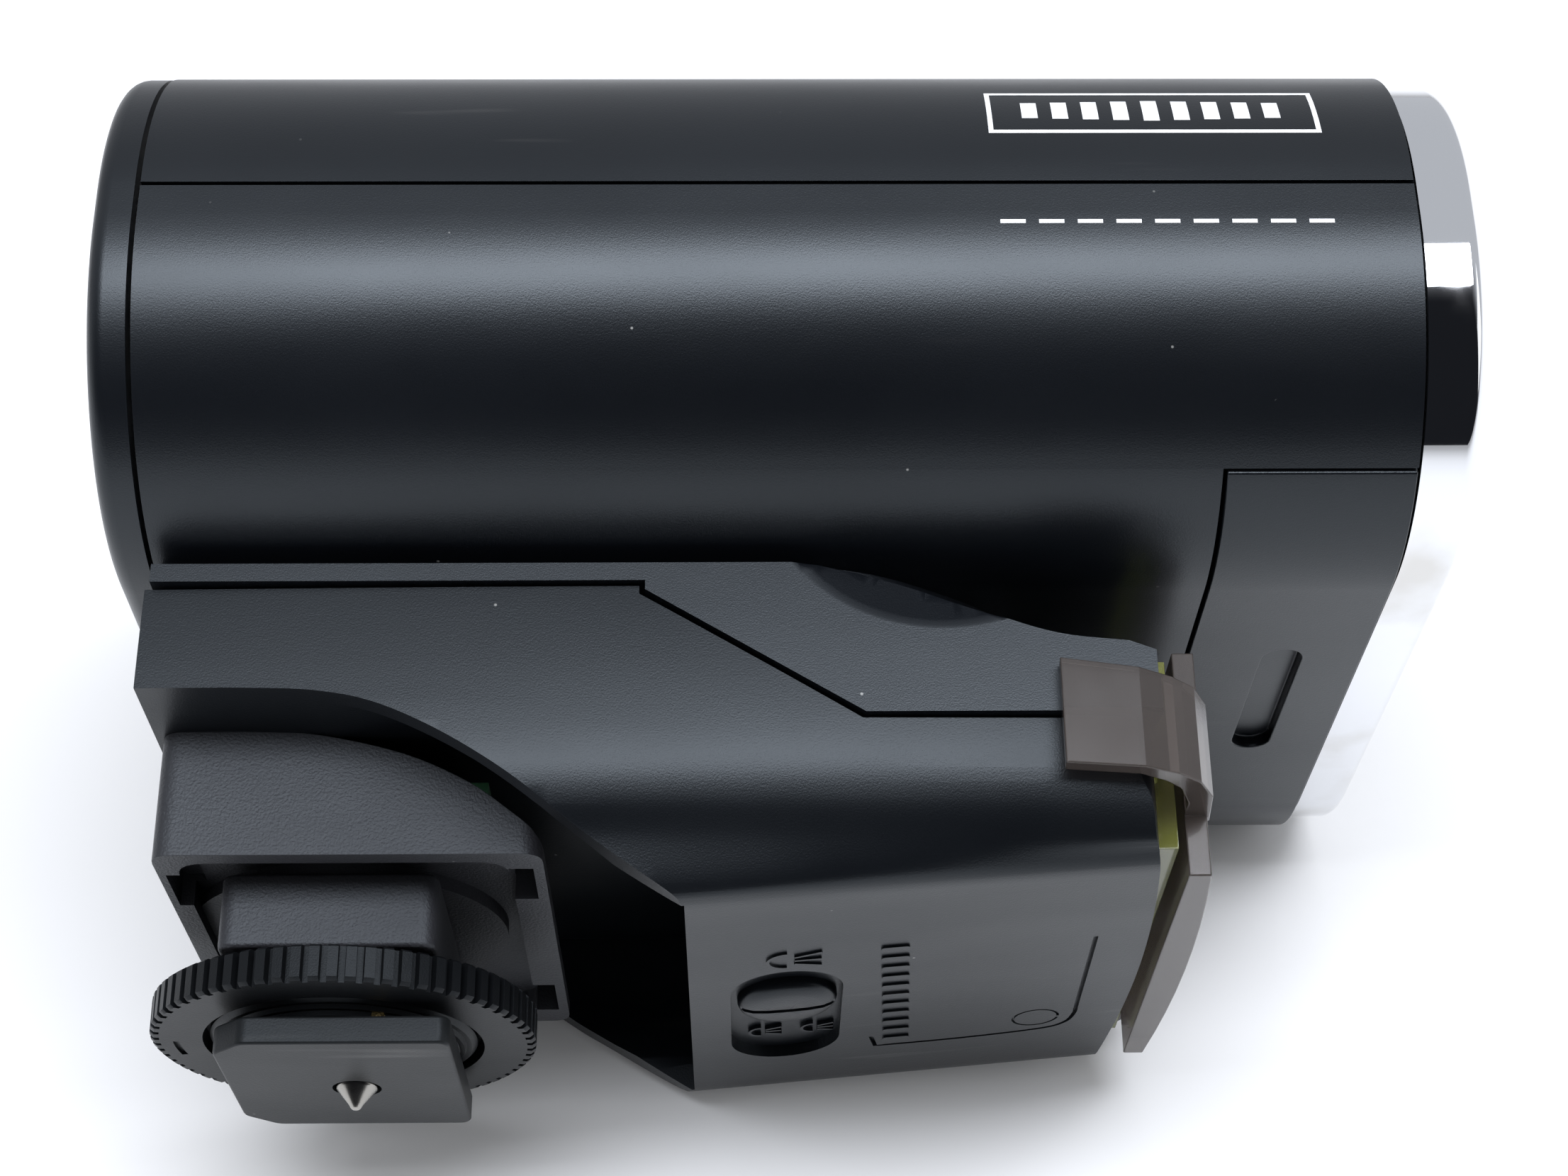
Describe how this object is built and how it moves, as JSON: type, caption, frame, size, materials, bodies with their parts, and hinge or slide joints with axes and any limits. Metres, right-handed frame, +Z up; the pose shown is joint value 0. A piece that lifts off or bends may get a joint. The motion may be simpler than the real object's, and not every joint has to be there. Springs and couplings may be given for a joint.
{
  "type": "speedlight flash",
  "caption": "Camera-mounted speedlight with a tilting bounce head, a second fill reflector under a clip-on smoke filter, and an accessory-shoe foot with a locking ring.",
  "frame": {"origin": "bottom centre of the bounding box, on the surface that the flash lies on", "axes": "+X from the rear cover to the front frame, +Z up; the flash lies on its left side, leaning on its barrel and on one clip arm of the filter"},
  "size_m": [0.0948, 0.0758, 0.0747],
  "materials": {
    "housing": "satin, fine grain",
    "adapter": "matte, coarse grain",
    "chrome_frame": "polished",
    "black_metal": "satin black",
    "clear_lens": "clear, ribbed",
    "green_lens": "clear with a green-yellow tint",
    "smoke_filter": "translucent grey-brown",
    "reflector": "bright",
    "tube_glass": "clear",
    "contact_brass": "plated",
    "steel": "plain",
    "board": "lacquered",
    "coil": "lacquered wire",
    "cell": "printed sleeve",
    "capacitor": "shrink sleeve",
    "control": "satin",
    "lamp": "translucent"
  },
  "bodies": {
    "base": {"main_housing": "housing", "lower_shell": "housing", "rear_cover": "housing", "info_plate": "control", "ready_lamp": "lamp", "inner_deck": "adapter", "hinge_bracket": "steel", "hinge_pin": "steel", "deck_screw_1": "steel", "deck_screw_2": "steel", "deck_screw_3": "steel", "deck_screw_4": "steel", "circuit_board": "board", "transformer": "black_metal", "trigger_coil": "coil", "main_capacitor": "capacitor", "battery_1": "cell", "battery_2": "cell", "battery_3": "cell", "battery_4": "cell", "battery_contact_front": "steel", "battery_contact_rear": "steel", "second_reflector": "reflector", "second_flash_tube": "tube_glass", "second_window": "green_lens", "sensor_window": "clear_lens", "adapter_housing": "adapter", "adapter_board": "board", "foot_block": "adapter", "shoe_foot": "black_metal", "foot_nut": "steel", "ground_contact": "contact_brass"},
    "head": {"top_cover": "housing", "front_panel": "housing", "front_frame": "chrome_frame", "front_lens": "clear_lens", "reflector_housing": "adapter", "main_reflector": "reflector", "main_flash_tube": "tube_glass"},
    "ring": {"locking_ring": "black_metal", "clamp_washer": "steel"},
    "contact_a": {"centre_contact": "contact_brass"},
    "knob": {"selector_knob": "housing"},
    "filter": {"attenuator_filter": "smoke_filter"},
    "door": {"battery_door": "housing"},
    "button": {"test_button": "control"},
    "switch_a": {"main_switch": "control"},
    "switch_b": {"mode_switch": "control"}
  },
  "joints": [
    {"name": "head_tilt", "type": "hinge", "parent": "base", "child": "head", "pos_m": [-0.039, 0.02568, 0.04268], "axis": [0, -0.3563, 0.9344], "range_deg": [0, 90]},
    {"name": "ring_turn", "type": "hinge", "parent": "base", "child": "ring", "pos_m": [-0.03115, -0.03085, 0.02112], "axis": [0, -0.9344, -0.3563], "range_deg": [0, 330]},
    {"name": "centre_contact_press", "type": "slide", "parent": "base", "child": "contact_a", "axis": [0, 0.9344, 0.3563], "range_m": [0, 0.0008], "stiffness_N_per_m": 400, "springref_m": -0.0005},
    {"name": "selector_turn", "type": "hinge", "parent": "base", "child": "knob", "pos_m": [0.00065, -0.02808, 0.02046], "axis": [-0.0838, 0.9311, 0.355], "range_deg": [0, 180]},
    {"name": "filter_pull", "type": "slide", "parent": "base", "child": "filter", "axis": [1, 0, 0], "range_m": [0, 0.014]},
    {"name": "battery_door_slide", "type": "slide", "parent": "base", "child": "door", "axis": [1, 0, 0], "range_m": [0, 0.052]},
    {"name": "test_button_press", "type": "slide", "parent": "base", "child": "button", "axis": [1, 0, 0], "range_m": [0, 0.0008], "stiffness_N_per_m": 500, "springref_m": -0.0005},
    {"name": "main_switch_slide", "type": "slide", "parent": "base", "child": "switch_a", "axis": [0, -0.3563, 0.9344], "range_m": [0, 0.0055]},
    {"name": "mode_switch_slide", "type": "slide", "parent": "base", "child": "switch_b", "axis": [0, -0.3563, 0.9344], "range_m": [0, 0.0092]}
  ]
}
